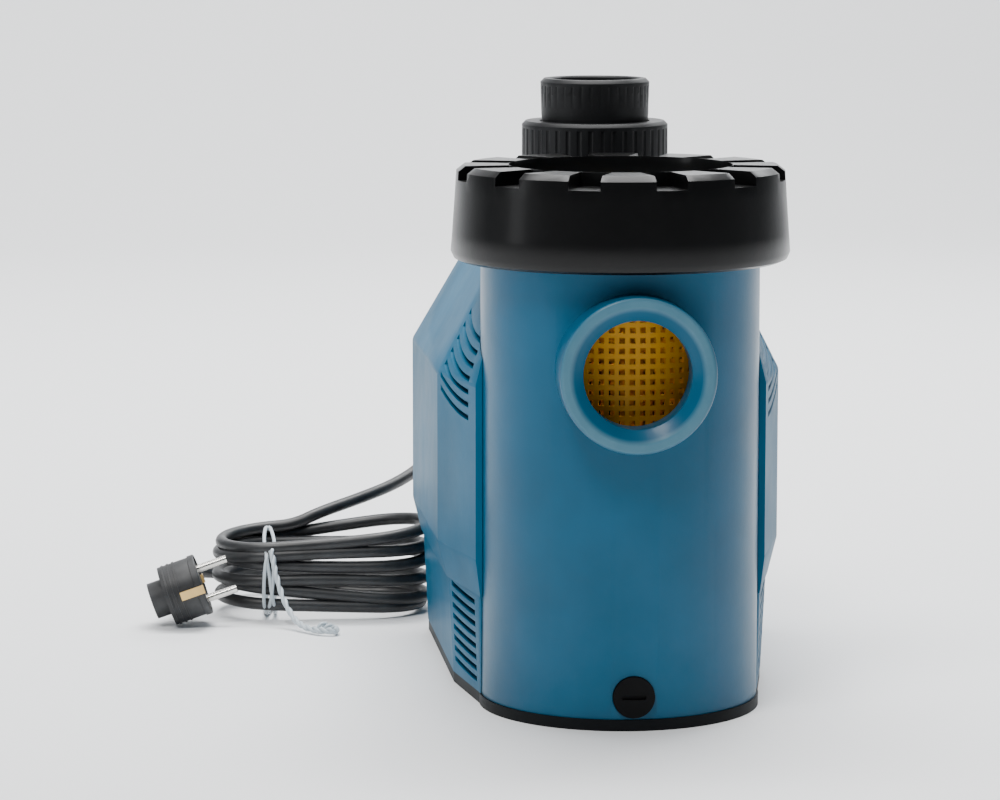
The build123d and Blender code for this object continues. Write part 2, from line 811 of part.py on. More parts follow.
def tray_section(z, inset):
    """Draw the plan outline of the tray at height z, or its inside when inset."""
    draft = foot_draft * (parting_z - z) / parting_z
    nose_x = nose_half - nose_hem - draft / 2
    broad_x = hood_half - hem_step - 1 - draft
    shoulder_x = shoulder_half - hem_step - 1 - draft
    slim_x = tail_half - hem_step - 1 - draft
    with BuildSketch(Plane.XY.offset(z)) as outline:
        Polygon(
            (-nose_x, nose_y),
            (nose_x, nose_y),
            (broad_x, cheek_y),
            (shoulder_x, shoulder_y),
            (slim_x, waist_y),
            (slim_x, hood_back),
            (-slim_x, hood_back),
            (-slim_x, waist_y),
            (-shoulder_x, shoulder_y),
            (-broad_x, cheek_y),
            align=None,
        )
        fillet(outline.vertices(), corner_round)
        if inset:
            offset(amount=-inset)
    return outline.sketch


tab_outer = tail_half - hem_step - hood_wall - 0.5
tab_thickness = 6.0
tab_bottom = parting_z - 12
tab_height = hood_screw_z + 7 - tab_bottom
with BuildPart() as motor_tray:
    loft([tray_section(base_thickness, 0), tray_section(parting_z, 0)])
    loft(
        [tray_section(base_thickness, hood_wall), tray_section(parting_z, hood_wall)],
        mode=Mode.SUBTRACT,
    )
    for side in (-1, 1):
        with Locations((side * (tab_outer - tab_thickness / 2), hood_screw_y, tab_bottom + tab_height / 2)):
            Box(tab_thickness, 12, tab_height)
        boss = side_plane(tab_outer if side > 0 else -tail_half + hood_wall + 0.1, hood_screw_y)
        disc(boss, 5, tail_half - hood_wall - 0.1 - tab_outer)
    cut_disc(side_plane(-tail_half, hood_screw_y), hood_screw_radius + seat_gap, 2 * tail_half)
    cut_disc(Plane.XY, pot_radius + fit, hood_top)
    extrude(louvre_sketch(12, 8, 6.1, 1.2), amount=2 * hood_half, mode=Mode.SUBTRACT)
save(motor_tray, "motor_tray")

ear_x = tail_half + 4
ear_y = hood_back - 14
ear_radius = 10.0
foot_bolt_radius = 4.5
with BuildPart() as base_plate:
    extrude(tray_section(0, 0), amount=base_thickness)
    disc(Plane.XY, pot_radius + 1, base_thickness)
    with BuildSketch() as ears:
        with Locations((0, ear_y)):
            SlotOverall(2 * (ear_x + ear_radius), 2 * ear_radius)
    extrude(ears.sketch, amount=base_thickness)
    with BuildSketch() as foot_holes:
        with Locations((-ear_x, ear_y), (ear_x, ear_y)):
            Circle(foot_bolt_radius)
    extrude(foot_holes.sketch, amount=base_thickness, mode=Mode.SUBTRACT)
save(base_plate, "base_plate")

fan_opening = 40.0
grille_back = hood_back - 1
with BuildPart() as rear_grille:
    extrude(hood_section(grille_back - hood_wall, *slim, hood_wall + 0.2), amount=hood_wall)
    split(bisect_by=Plane.XY.offset(parting_z + 0.5), keep=Keep.TOP)
    with BuildSketch(shaft_plane(grille_back - hood_wall)) as slots:
        for step in range(-6, 7):
            half = math.sqrt(fan_opening**2 - (step * 6) ** 2)
            with Locations((0, step * 6)):
                SlotOverall(2 * half + 1, 3.2)
        Circle(5, mode=Mode.SUBTRACT)
    extrude(slots.sketch, amount=hood_wall, mode=Mode.SUBTRACT)
    cut_disc(Plane(origin=(gland_x, grille_back - 5, gland_z), z_dir=(0, 1, 0)), 8 + seat_gap, 9)
save(rear_grille, "rear_grille")

# What the hood covers: cradle, capacitor, terminals ----------------------------------------------
foot_depth = 10.0
front_foot_y = motor_front + 4
rear_foot_y = motor_back - 4 - foot_depth


def on_feet(bottom, top, width, x=0.0):
    """Add the two blocks that stand at the can's ends, between two heights."""
    for y in (front_foot_y, rear_foot_y):
        with Locations((x, y + foot_depth / 2, (bottom + top) / 2)):
            Box(width, foot_depth, top - bottom)


with BuildPart() as motor_cradle:
    on_feet(base_thickness, shaft_z - motor_radius + 12, 60)
    with Locations((0, (front_foot_y + rear_foot_y + foot_depth) / 2, base_thickness + 2)):
        Box(60, rear_foot_y - front_foot_y, 4)
    cut_disc(shaft_plane(motor_front), motor_radius + seat_gap, motor_back - motor_front)
save(motor_cradle, "motor_cradle")

capacitor_x = -26.0
capacitor_z = shaft_z + motor_radius + 20
capacitor_radius = 17.0
capacitor_front = front_foot_y - 2
capacitor_length = 72.0
capacitor_plane = Plane(origin=(capacitor_x, capacitor_front, capacitor_z), z_dir=(0, 1, 0))
with BuildPart() as run_capacitor:
    disc(capacitor_plane, capacitor_radius, capacitor_length)
    disc(capacitor_plane.offset(-8), 4, 8)
    fillet(run_capacitor.faces().sort_by(Axis.Y)[-1].edges(), 2)
save(run_capacitor, "run_capacitor")

with BuildPart() as capacitor_clip:
    on_feet(shaft_z + motor_radius - 18, capacitor_z + 2, 2 * capacitor_radius + 5, capacitor_x)
    cut_disc(shaft_plane(motor_front), motor_radius + seat_gap, motor_back - motor_front)
    cut_disc(capacitor_plane.offset(-5), capacitor_radius + seat_gap, capacitor_length + 30)
save(capacitor_clip, "capacitor_clip")

terminal_x = 24.0
terminal_z = shaft_z + motor_radius + 6
terminal_width = 30.0
terminal_length = rear_foot_y + foot_depth - front_foot_y
terminal_y = front_foot_y + terminal_length / 2
with BuildPart() as terminal_board:
    on_feet(shaft_z + motor_radius - 16, terminal_z, terminal_width, terminal_x)
    with Locations((terminal_x, terminal_y, terminal_z + 2)):
        Box(terminal_width, terminal_length, 4)
    for step in range(3):
        with Locations((terminal_x, terminal_y - 18 + 18 * step, terminal_z + 4)):
            Box(22, 14, 12, align=(Align.CENTER, Align.CENTER, Align.MIN))
    cut_disc(shaft_plane(motor_front), motor_radius + seat_gap, motor_back - motor_front)
save(terminal_board, "terminal_board")

with BuildPart() as terminal_screws:
    for step in range(3):
        with Locations(
            (terminal_x - 5, terminal_y - 18 + 18 * step, terminal_z + 16),
            (terminal_x + 5, terminal_y - 18 + 18 * step, terminal_z + 16),
        ):
            Cylinder(2.6, 1.6, align=(Align.CENTER, Align.CENTER, Align.MIN))
save(terminal_screws, "terminal_screws")

with BuildPart() as grille_screws:
    for x, z in ((-46, 74), (46, 74), (-30, 213), (34, 213)):
        disc(Plane(origin=(x, grille_back, z), z_dir=(0, 1, 0)), 4, 0.9)
save(grille_screws, "grille_screws")

# Cable gland, strain relief, lead, hank, tie and plug ---------------------------------------------
gland_radius = 8.0
gland_hex = 5.0
gland_nut_depth = 12.0
relief_length = 28.0
cord_radius = cord_diameter / 2
gland_plane = Plane(origin=(gland_x, grille_back, gland_z), z_dir=(0, 1, 0))
with BuildPart() as cable_gland:
    disc(gland_plane.offset(-10), gland_radius, 10)
    with BuildSketch(gland_plane) as flats:
        RegularPolygon(11, 6)
    extrude(flats.sketch, amount=gland_hex)
save(cable_gland, "cable_gland")

with BuildPart() as gland_locknut:
    with BuildSketch(gland_plane.offset(-hood_wall - 4)) as flats:
        RegularPolygon(11, 6)
        Circle(gland_radius + seat_gap, mode=Mode.SUBTRACT)
    extrude(flats.sketch, amount=4)
save(gland_locknut, "gland_locknut")

with BuildPart() as gland_nut:
    disc(gland_plane.offset(gland_hex), 9.5, gland_nut_depth)
    fillet(gland_nut.faces().sort_by(Axis.Y)[-1].edges(), 3)
save(gland_nut, "gland_nut")

relief_start = gland_hex + gland_nut_depth
with BuildPart() as strain_relief:
    with BuildSketch(gland_plane.offset(relief_start)) as thick_end:
        Circle(6)
    with BuildSketch(gland_plane.offset(relief_start + relief_length)) as thin_end:
        Circle(cord_radius + 0.9)
    loft([thick_end.sketch, thin_end.sketch])
save(strain_relief, "strain_relief")

hank_x = -152.0
hank_y = 274.0
hank_length = 137.0
hank_width = 76.0
hank_height = 46.0
hank_bottom = 2.6
hank_round = 14.0
with BuildPart() as cord_hank:
    with BuildSketch(at(hank_x, hank_y, hank_bottom)) as oval:
        SlotOverall(hank_length, hank_width)
    extrude(oval.sketch, amount=hank_height)
    fillet(cord_hank.edges().filter_by(Plane.XY), hank_round)
save(cord_hank, "cord_hank")

tie_x = -182.0
tie_wire = 2.2
with BuildPart() as cord_tie:
    with BuildSketch(
        Plane(
            origin=(tie_x, hank_y, hank_bottom + hank_height / 2), x_dir=(0, 1, 0), z_dir=(1, 0, 0)
        )
    ) as band:
        RectangleRounded(hank_width + 2 * tie_wire, hank_height + 2 * tie_wire, hank_round + tie_wire)
        RectangleRounded(hank_width + 0.1, hank_height + 0.1, hank_round, mode=Mode.SUBTRACT)
    extrude(band.sketch, amount=tie_wire)
save(cord_tie, "cord_tie")


def cord_tube(points):
    """Sweep the lead along straight runs joined by tangent arcs, and print the arcs' radii."""
    places = [Vector(*point) for point in points]
    runs = [b - a for a, b in zip(places, places[1:])]
    radii = []
    for before, after in zip(runs, runs[1:]):
        half_turn = math.radians(before.get_angle(after)) / 2
        radii.append(0.45 * min(before.length, after.length) / math.tan(half_turn))
    print("cord runs", [round(run.length) for run in runs], "radii", [round(r) for r in radii])
    with BuildLine() as path:
        FilletPolyline(*points, radius=radii)
    with BuildSketch(Plane(origin=points[0], z_dir=runs[0])) as section:
        Circle(cord_radius)
    sweep(sections=section.sketch, path=path.line)
    length = sum(edge.length for edge in path.edges())
    print("cord length", round(length), "section by length", round(length * math.pi * cord_radius**2))


lead_start = (gland_x, grille_back + relief_start + relief_length, gland_z)
lead_points = [
    lead_start,
    (14, 424, 196),
    (6, 450, 180),
    (-18, 468, 146),
    (-48, 460, 108),
    (-70, 424, 82),
    (-84, 382, 72),
    (-104, 346, 66),
    (-128, 322, 61),
    (-153, 308, 54),
    (-173, 303, 45),
]
with BuildPart() as cord_lead:
    cord_tube(lead_points)
    print("cord volume", round(cord_lead.part.volume))
    add(cord_hank.part, mode=Mode.SUBTRACT)
save(cord_lead, "cord_lead")

# The plug lies beside the hank's end, with its pins up and to the right
plug_x = -226.0
plug_y = 232.0
plug_z = 25.0
plug_radius = 18.0
plug_depth = 22.0
plug_tilt = math.radians(19)
pin_spacing = 19.0
pin_radius = 2.4
pin_length = 19.0
pin_direction = (math.cos(plug_tilt), 0, math.sin(plug_tilt))
plug_front = Plane(origin=(plug_x, plug_y, plug_z), x_dir=(0, 1, 0), z_dir=pin_direction)
plug_exit = 44.0
with BuildPart() as mains_plug:
    disc(plug_front.offset(-plug_depth), plug_radius, plug_depth)
    disc(plug_front.offset(-plug_depth - 9), plug_radius - 7, 9)
    disc(facing(plug_y + plug_exit, plug_z - 4, plug_x - 10), 6, plug_exit)
save(mains_plug, "mains_plug")

with BuildPart() as plug_pins:
    with BuildSketch(plug_front) as pins:
        with Locations((0, pin_spacing / 2), (0, -pin_spacing / 2)):
            Circle(pin_radius)
    extrude(pins.sketch, amount=pin_length)
save(plug_pins, "plug_pins")

tail_points = [
    (-236, 276, 21),
    (-236, 298, 20),
    (-225, 318, 17),
    (-205, 329, 13),
    (-183, 329, 10),
    (-163, 318, 8),
    (-152, 298, 8),
]
with BuildPart() as cord_tail:
    cord_tube(tail_points)
    print("cord volume", round(cord_tail.part.volume))
    add(cord_hank.part, mode=Mode.SUBTRACT)
save(cord_tail, "cord_tail")
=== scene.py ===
"""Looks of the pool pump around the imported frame: materials, mesh, lead, wire tie and studio.

Lengths are in millimetres unless a line says metres, and MM turns them into Blender's metres.
"""

import json
import math

import bpy
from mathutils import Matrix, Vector, noise


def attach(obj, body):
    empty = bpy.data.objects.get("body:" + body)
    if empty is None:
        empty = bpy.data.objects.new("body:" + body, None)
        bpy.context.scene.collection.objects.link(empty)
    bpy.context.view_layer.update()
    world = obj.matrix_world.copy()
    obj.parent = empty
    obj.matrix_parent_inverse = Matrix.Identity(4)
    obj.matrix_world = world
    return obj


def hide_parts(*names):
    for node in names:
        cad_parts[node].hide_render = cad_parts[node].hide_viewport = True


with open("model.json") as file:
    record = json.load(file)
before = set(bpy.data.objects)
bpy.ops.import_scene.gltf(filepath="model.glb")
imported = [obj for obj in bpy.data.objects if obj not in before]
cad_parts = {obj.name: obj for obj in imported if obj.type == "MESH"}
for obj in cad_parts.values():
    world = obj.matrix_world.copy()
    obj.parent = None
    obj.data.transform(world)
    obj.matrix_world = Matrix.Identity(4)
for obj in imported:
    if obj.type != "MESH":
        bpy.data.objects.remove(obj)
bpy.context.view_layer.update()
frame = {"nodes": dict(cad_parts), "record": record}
MM = 0.001


# Camera, floor and light ----------------------------------------------------------------------
def make_camera():
    """The camera stands low, a little to the left of the pump, far enough for flat perspective."""
    place = Vector((-0.225, -2.038, 0.445))
    target = Vector((-0.06, 0.06, 0.158))
    data = bpy.data.cameras.new("camera")
    data.lens = 138
    data.sensor_width = 36
    data.clip_end = 50
    camera = bpy.data.objects.new("camera", data)
    camera.location = place
    camera.rotation_euler = (target - place).to_track_quat("-Z", "Y").to_euler()
    bpy.context.scene.collection.objects.link(camera)
    bpy.context.scene.camera = camera


def make_area_light(name, place, target, size, power, colour):
    data = bpy.data.lights.new(name, "AREA")
    data.shape = "RECTANGLE"
    data.size, data.size_y = size
    data.energy = power
    data.color = colour
    light = bpy.data.objects.new(name, data)
    light.location = place
    light.rotation_euler = (Vector(target) - Vector(place)).to_track_quat("-Z", "Y").to_euler()
    bpy.context.scene.collection.objects.link(light)


def make_floor():
    """A plain pale floor that curves up into a backdrop behind the pump."""
    half_width, front, bend_start, bend_radius, height = 6.0, -5.0, 2.6, 1.2, 4.0
    outline = [(front, 0.0), (bend_start, 0.0)]
    for step in range(1, 17):
        angle = math.pi / 2 * step / 16
        outline.append(
            (bend_start + bend_radius * math.sin(angle), bend_radius * (1 - math.cos(angle)))
        )
    outline.append((bend_start + bend_radius, height))
    verts = [(x, y, z) for y, z in outline for x in (-half_width, half_width)]
    faces = [(2 * i, 2 * i + 1, 2 * i + 3, 2 * i + 2) for i in range(len(outline) - 1)]
    mesh = bpy.data.meshes.new("floor")
    mesh.from_pydata(verts, [], faces)
    floor = bpy.data.objects.new("floor", mesh)
    for face in mesh.polygons:
        face.use_smooth = True
    material = bpy.data.materials.new("floor")
    material.use_nodes = True
    shader = material.node_tree.nodes["Principled BSDF"]
    shader.inputs["Base Color"].default_value = (0.83, 0.84, 0.85, 1)
    shader.inputs["Roughness"].default_value = 0.6
    mesh.materials.append(material)
    bpy.context.scene.collection.objects.link(floor)


def make_studio():
    make_camera()
    make_floor()
    target = (-0.02, 0.08, 0.15)
    make_area_light("key", (-0.9, -1.3, 2.6), target, (0.8, 0.8), 60, (1.0, 0.99, 0.97))
    make_area_light("side", (-2.3, -0.4, 0.9), target, (0.5, 1.3), 7, (0.96, 0.98, 1.0))
    make_area_light("rim", (0.9, 1.9, 1.7), target, (1.4, 0.7), 24, (0.97, 0.99, 1.0))
    make_area_light("top", (0.1, 0.5, 2.6), target, (1.6, 1.6), 80, (1.0, 1.0, 1.0))
    make_area_light("backdrop", (0.0, 1.2, 3.2), (0.0, 3.6, 0.6), (3.0, 1.2), 190, (1.0, 1.0, 1.0))
    world = bpy.data.worlds.new("studio")
    world.use_nodes = True
    world.node_tree.nodes["Background"].inputs["Color"].default_value = (0.8, 0.88, 1.0, 1)
    world.node_tree.nodes["Background"].inputs["Strength"].default_value = 0.12
    bpy.context.scene.world = world


# Materials --------------------------------------------------------------------------------------
class Nodes:
    """A short way to add and join shader nodes in one material."""

    def __init__(self, name):
        self.material = bpy.data.materials.new(name)
        self.material.use_nodes = True
        self.tree = self.material.node_tree
        self.shader = self.tree.nodes["Principled BSDF"]
        self.place = self.tree.nodes.new("ShaderNodeTexCoord").outputs["Object"]

    def link(self, out, into):
        self.tree.links.new(out, into)

    def noise(self, scale, detail=4.0, roughness=0.55, place=None):
        node = self.tree.nodes.new("ShaderNodeTexNoise")
        node.inputs["Scale"].default_value = scale
        node.inputs["Detail"].default_value = detail
        node.inputs["Roughness"].default_value = roughness
        self.link(place or self.place, node.inputs["Vector"])
        return node.outputs["Fac"]

    def stretch(self, x, y, z):
        node = self.tree.nodes.new("ShaderNodeMapping")
        node.inputs["Scale"].default_value = (x, y, z)
        self.link(self.place, node.inputs["Vector"])
        return node.outputs["Vector"]

    def ramp(self, value, stops):
        node = self.tree.nodes.new("ShaderNodeValToRGB")
        self.link(value, node.inputs["Fac"])
        elements = node.color_ramp.elements
        while len(elements) < len(stops):
            elements.new(0.5)
        for element, (where, colour) in zip(elements, stops):
            element.position = where
            element.color = (*colour, 1) if len(colour) == 3 else colour
        return node.outputs["Color"]

    def scale_value(self, value, low, high):
        node = self.tree.nodes.new("ShaderNodeMapRange")
        node.inputs["To Min"].default_value = low
        node.inputs["To Max"].default_value = high
        self.link(value, node.inputs["Value"])
        return node.outputs["Result"]

    def mix(self, factor, first, second):
        node = self.tree.nodes.new("ShaderNodeMix")
        node.data_type = "RGBA"
        if isinstance(factor, float):
            node.inputs[0].default_value = factor
        else:
            self.link(factor, node.inputs[0])
        for value, slot in ((first, 6), (second, 7)):
            if isinstance(value, tuple):
                node.inputs[slot].default_value = (*value, 1)
            else:
                self.link(value, node.inputs[slot])
        return node.outputs[2]

    def distance_along(self, axis):
        """How far the shaded point lies along one axis of its object, in metres."""
        node = self.tree.nodes.new("ShaderNodeSeparateXYZ")
        self.link(self.place, node.inputs[0])
        return node.outputs[axis]

    def math(self, operation, first, second):
        node = self.tree.nodes.new("ShaderNodeMath")
        node.operation = operation
        for value, slot in ((first, 0), (second, 1)):
            if isinstance(value, (int, float)):
                node.inputs[slot].default_value = value
            else:
                self.link(value, node.inputs[slot])
        return node.outputs[0]

    def bump(self, value, strength, distance, below=None):
        node = self.tree.nodes.new("ShaderNodeBump")
        node.inputs["Strength"].default_value = strength
        node.inputs["Distance"].default_value = distance
        self.link(value, node.inputs["Height"])
        if below is not None:
            self.link(below, node.inputs["Normal"])
        self.link(node.outputs["Normal"], self.shader.inputs["Normal"])
        return node.outputs["Normal"]


DUST_COLOUR = (0.33, 0.36, 0.37)
DUST_FADE = 9.0  # one over the height, in metres, where the dust ends


def moulded_plastic(
    name, colour, roughness, grain, dust=0.0, coat=0.0, wear=0.35, shine=0.2, lip_highlight=None
):
    """Moulded plastic: mottling, grain and orange peel, with dust low down and a painted highlight
    that pales the lip.
    """
    n = Nodes(name)
    darker = tuple(c * (1 - wear) for c in colour)
    lighter = tuple(min(1, c * (1 + wear) + 0.001) for c in colour)
    mottled = n.ramp(n.noise(9, 5), [(0.3, darker), (0.5, colour), (0.72, lighter)])
    speckled = n.mix(n.scale_value(n.noise(900, 2), 0.0, 0.12), mottled, lighter)
    shade = speckled
    if dust:
        height = n.math("MULTIPLY", n.distance_along("Z"), DUST_FADE)
        low = n.math("SUBTRACT", 1.0, height)
        patchy = n.math("MULTIPLY", n.noise(38, 6, 0.7), low)
        amount = n.scale_value(patchy, 0.0, dust)
        shade = n.mix(amount, speckled, DUST_COLOUR)
    # Painted highlight: the inlet lip is paled in patches, most at its front face and fading over
    # the depth behind it, to stand in for light on the rim.
    if lip_highlight:
        front, depth, highlight_tint = lip_highlight
        behind = n.math("SUBTRACT", front + depth, n.distance_along("Y"))
        reach = n.math("DIVIDE", behind, depth)
        highlight_amount = n.math("MULTIPLY", n.scale_value(n.noise(60, 4), 0.45, 0.9), reach)
        shade = n.mix(n.scale_value(highlight_amount, 0.0, 1.0), shade, highlight_tint)
    n.link(shade, n.shader.inputs["Base Color"])
    streaks = n.noise(26, 5, 0.6)
    n.link(n.scale_value(streaks, roughness - 0.08, roughness + 0.1), n.shader.inputs["Roughness"])
    peel = n.bump(n.noise(140, 2), 0.12, 0.0004)
    n.bump(n.noise(grain, 3, 0.7), 0.22, 0.00012, peel)
    n.shader.inputs["Coat Weight"].default_value = coat
    n.shader.inputs["Coat Roughness"].default_value = 0.16
    n.shader.inputs["Specular IOR Level"].default_value = shine
    return n.material


def metal(name, colour, roughness, stretch=(1, 1, 1), grain=600):
    """Metal with a directional grain and faint tarnish."""
    n = Nodes(name)
    n.shader.inputs["Metallic"].default_value = 1.0
    stained = tuple(c * 0.72 for c in colour)
    n.link(n.ramp(n.noise(30, 5), [(0.3, stained), (0.65, colour)]), n.shader.inputs["Base Color"])
    drawn = n.noise(grain, 3, 0.6, n.stretch(*stretch))
    n.link(n.scale_value(drawn, roughness - 0.08, roughness + 0.12), n.shader.inputs["Roughness"])
    n.bump(drawn, 0.2, 0.0001)
    return n.material


def rubber(name, colour, roughness=0.55):
    """Rubber sheath: a fine pebbled skin with scuffs and a little bloom."""
    n = Nodes(name)
    bloom = tuple(c * 2.4 + 0.012 for c in colour)
    patches = n.noise(45, 6, 0.65)
    n.link(n.ramp(patches, [(0.35, colour), (0.78, bloom)]), n.shader.inputs["Base Color"])
    n.link(
        n.scale_value(n.noise(120, 4), roughness - 0.12, roughness + 0.15),
        n.shader.inputs["Roughness"],
    )
    n.bump(n.noise(1500, 2), 0.25, 0.00012)
    return n.material


def clear_plastic():
    """Clear polycarbonate of the strainer lid, slightly smoky, with hairline scratches."""
    n = Nodes("clear_lid")
    n.shader.inputs["Base Color"].default_value = (0.78, 0.84, 0.85, 1)
    n.shader.inputs["Transmission Weight"].default_value = 0.92
    n.shader.inputs["IOR"].default_value = 1.58
    n.link(n.scale_value(n.noise(60, 6), 0.04, 0.2), n.shader.inputs["Roughness"])
    n.bump(n.noise(220, 3, 0.6, n.stretch(1, 6, 1)), 0.08, 0.0002)
    return n.material


TEAL = (0.001, 0.083, 0.165)
BLACK = (0.0035, 0.0036, 0.004)
INLET_LIP_HIGHLIGHT = (-0.0925, 0.0022, (0.13, 0.27, 0.33))  # front and depth in metres, paler colour of the painted highlight on the inlet lip
MATERIALS = {
    "teal_plastic": moulded_plastic(
        "teal_plastic", TEAL, 0.34, 700, dust=0.05, coat=0.05, wear=0.2, lip_highlight=INLET_LIP_HIGHLIGHT
    ),
    "teal_hood": moulded_plastic(
        "teal_hood", (0.001, 0.095, 0.185), 0.44, 520, dust=0.05, wear=0.18, shine=0.1
    ),
    "black_base": moulded_plastic("black_base", (0.004, 0.005, 0.006), 0.5, 420, shine=0.12),
    "black_ring": moulded_plastic("black_ring", (0.0028, 0.0028, 0.003), 0.3, 360, coat=0.1),
    "black_fittings": moulded_plastic("black_fittings", BLACK, 0.5, 500, shine=0.1),
    "black_union": moulded_plastic("black_union", (0.011, 0.0115, 0.0125), 0.42, 420),
    "clear_lid": clear_plastic(),
    "yellow_basket": moulded_plastic("yellow_basket", (0.66, 0.31, 0.008), 0.42, 600, wear=0.2),
    "rubber": rubber("rubber", (0.012, 0.012, 0.012)),
    "internal_plastic": moulded_plastic("internal_plastic", (0.035, 0.036, 0.038), 0.5, 400),
    "cord_rubber": rubber("cord_rubber", (0.009, 0.0095, 0.0105), 0.42),
    "plug_body": rubber("plug_body", (0.011, 0.0115, 0.0125), 0.5),
    "plated_pins": metal("plated_pins", (0.78, 0.76, 0.72), 0.24, (1, 1, 6)),
    "tie_wire": moulded_plastic("tie_wire", (0.5, 0.56, 0.6), 0.34, 900, coat=0.2, wear=0.25),
    "ceramic": moulded_plastic("ceramic", (0.72, 0.69, 0.6), 0.22, 300, wear=0.06),
    "stainless": metal("stainless", (0.62, 0.62, 0.61), 0.3, (1, 1, 5)),
    "brass_contacts": metal("brass_contacts", (0.74, 0.5, 0.2), 0.32),
    "steel_laminations": metal("steel_laminations", (0.3, 0.3, 0.31), 0.5, (1, 60, 1)),
    "copper_wire": metal("copper_wire", (0.62, 0.26, 0.11), 0.34, (1, 20, 1)),
    "cast_aluminium": metal("cast_aluminium", (0.56, 0.57, 0.58), 0.5, grain=260),
    "bearing_steel": metal("bearing_steel", (0.5, 0.5, 0.52), 0.22),
    "capacitor_shell": moulded_plastic("capacitor_shell", (0.7, 0.7, 0.67), 0.35, 500, wear=0.05),
}


def dress_cad_nodes():
    """Every CAD node takes the material of its slot in the record."""
    slots = {row["node"]: row["material_slot"] for row in frame["record"]["subparts"]}
    for name, node in frame["nodes"].items():
        node.data.materials.clear()
        node.data.materials.append(MATERIALS[slots[name]])


def new_piece(name, mesh, body, slot):
    """Link a finished mesh or curve, dress it, and let it ride on its body."""
    piece = bpy.data.objects.new(name, mesh)
    bpy.context.scene.collection.objects.link(piece)
    mesh.materials.append(MATERIALS[slot])
    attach(piece, body)
    return piece


# Mains lead -------------------------------------------------------------------------------------
CORD_DIAMETER = 7.5 * MM
LEAD_POINTS = [
    (14, 396, 196),
    (14, 424, 196),
    (6, 450, 180),
    (-18, 468, 146),
    (-48, 460, 108),
    (-70, 424, 82),
    (-84, 382, 72),
    (-104, 346, 66),
    (-128, 322, 61),
    (-153, 308, 55),
]
TAIL_POINTS = [
    (-163, 317, 8),
    (-183, 329, 10),
    (-205, 329, 13),
    (-225, 318, 17),
    (-236, 298, 20),
    (-236, 276, 21),
]
HANK_CENTRE = Vector((-152, 274, 0))
HANK_TURNS = [  # height, end radius, half straight and lift of the right end of each turn
    (49, 31, 33, 4),
    (45, 35, 31, 8),
    (37, 30, 33, -3),
    (28, 35, 31, 5),
    (20, 29, 34, -5),
    (11, 34, 31, -2),
    (4.5, 30, 30, 0),
]
STEPS_PER_TURN = 16
HANK_STEPS = 95
HANK_START = 0.155  # of a turn, from the right end of the far straight
LIFT_REACH = 65  # how far right of the centre a turn has its whole lift
LOWEST_CORD_Z = 4.2


def on_oval(share, radius, straight):
    """A point of an oval with two straight runs and two round ends, by its share of a turn."""
    run = 2 * straight
    half = run + math.pi * radius
    way = share % 1 * 2 * half
    side = 1 if way < half else -1
    way %= half
    if way < run:
        return side * (straight - way), side * radius
    turned = (way - run) / radius
    return -side * (straight + radius * math.sin(turned)), side * radius * math.cos(turned)


def hank_points():
    """Loose oval turns, wound from the top far side down to the far side at the bottom."""
    points = []
    for step in range(HANK_STEPS):
        turn = step / STEPS_PER_TURN
        low = min(int(turn), len(HANK_TURNS) - 2)
        share = turn - low
        height, radius, straight, lift = (
            a * (1 - share) + b * share for a, b in zip(HANK_TURNS[low], HANK_TURNS[low + 1])
        )
        loose = 2.2 * noise.noise(Vector((turn * 2.3, 4.1, 0.7)))
        wave = 1.6 * noise.noise(Vector((turn * 3.1, 1.7, 2.9)))
        across, along = on_oval(HANK_START + turn, radius + loose, straight)
        points.append(
            (
                HANK_CENTRE.x + across,
                HANK_CENTRE.y + along,
                max(LOWEST_CORD_Z, height + wave + lift * across / LIFT_REACH),
            )
        )
    return points


def make_lead():
    """One continuous lead from the strain relief, through the hank, to the plug."""
    route = LEAD_POINTS + hank_points() + TAIL_POINTS
    curve = bpy.data.curves.new("mains_lead", "CURVE")
    curve.dimensions = "3D"
    spline = curve.splines.new("NURBS")
    spline.points.add(len(route) - 1)
    for point, (x, y, z) in zip(spline.points, route):
        point.co = (x * MM, y * MM, z * MM, 1)
    spline.order_u = 3
    spline.use_endpoint_u = True
    spline.resolution_u = 6
    curve.bevel_depth = CORD_DIAMETER / 2
    curve.bevel_resolution = 5
    curve.use_fill_caps = True
    lead = new_piece("mains_lead", curve, "root", "cord_rubber")
    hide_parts("cord_lead", "cord_hank", "cord_tail")
    nodes = frame["nodes"]
    ([nodes["mains_plug"], nodes["plug_pins"], nodes["strain_relief"]]
        + [make_wire_tie()]
        + make_plug_details())


# Shapes -----------------------------------------------------------------------------------------
class Shape:
    """Collects vertices, in millimetres, and faces for one mesh."""

    def __init__(self):
        self.verts = []
        self.faces = []

    def grid(self, rows, keep=lambda row, column: True, ring=True):
        """Add quads over a grid of points, whose columns close into a ring unless told."""
        start = len(self.verts)
        width = len(rows[0])
        self.verts += [tuple(c * MM for c in point) for row in rows for point in row]
        for row in range(len(rows) - 1):
            for column in range(width if ring else width - 1):
                if keep(row, column):
                    here, beside = start + row * width, (column + 1) % width
                    self.faces.append(
                        (here + column, here + beside, here + width + beside, here + width + column)
                    )

    def turned(self, profile, place, sides=48):
        """Add a closed solid of revolution: place turns (radius, along, angle) into a point."""
        rows = []
        for radius, along in profile + profile[:1]:
            rows.append(
                [place(radius, along, 2 * math.pi * side / sides) for side in range(sides)]
            )
        self.grid(rows)

    def mesh(self, name, smooth_angle=None):
        mesh = bpy.data.meshes.new(name)
        mesh.from_pydata(self.verts, [], self.faces)
        mesh.update()
        if smooth_angle is not None:
            mesh.shade_smooth()
            mesh.set_sharp_from_angle(angle=math.radians(smooth_angle))
        return mesh


def about_z(radius, z, angle):
    return (radius * math.cos(angle), radius * math.sin(angle), z)


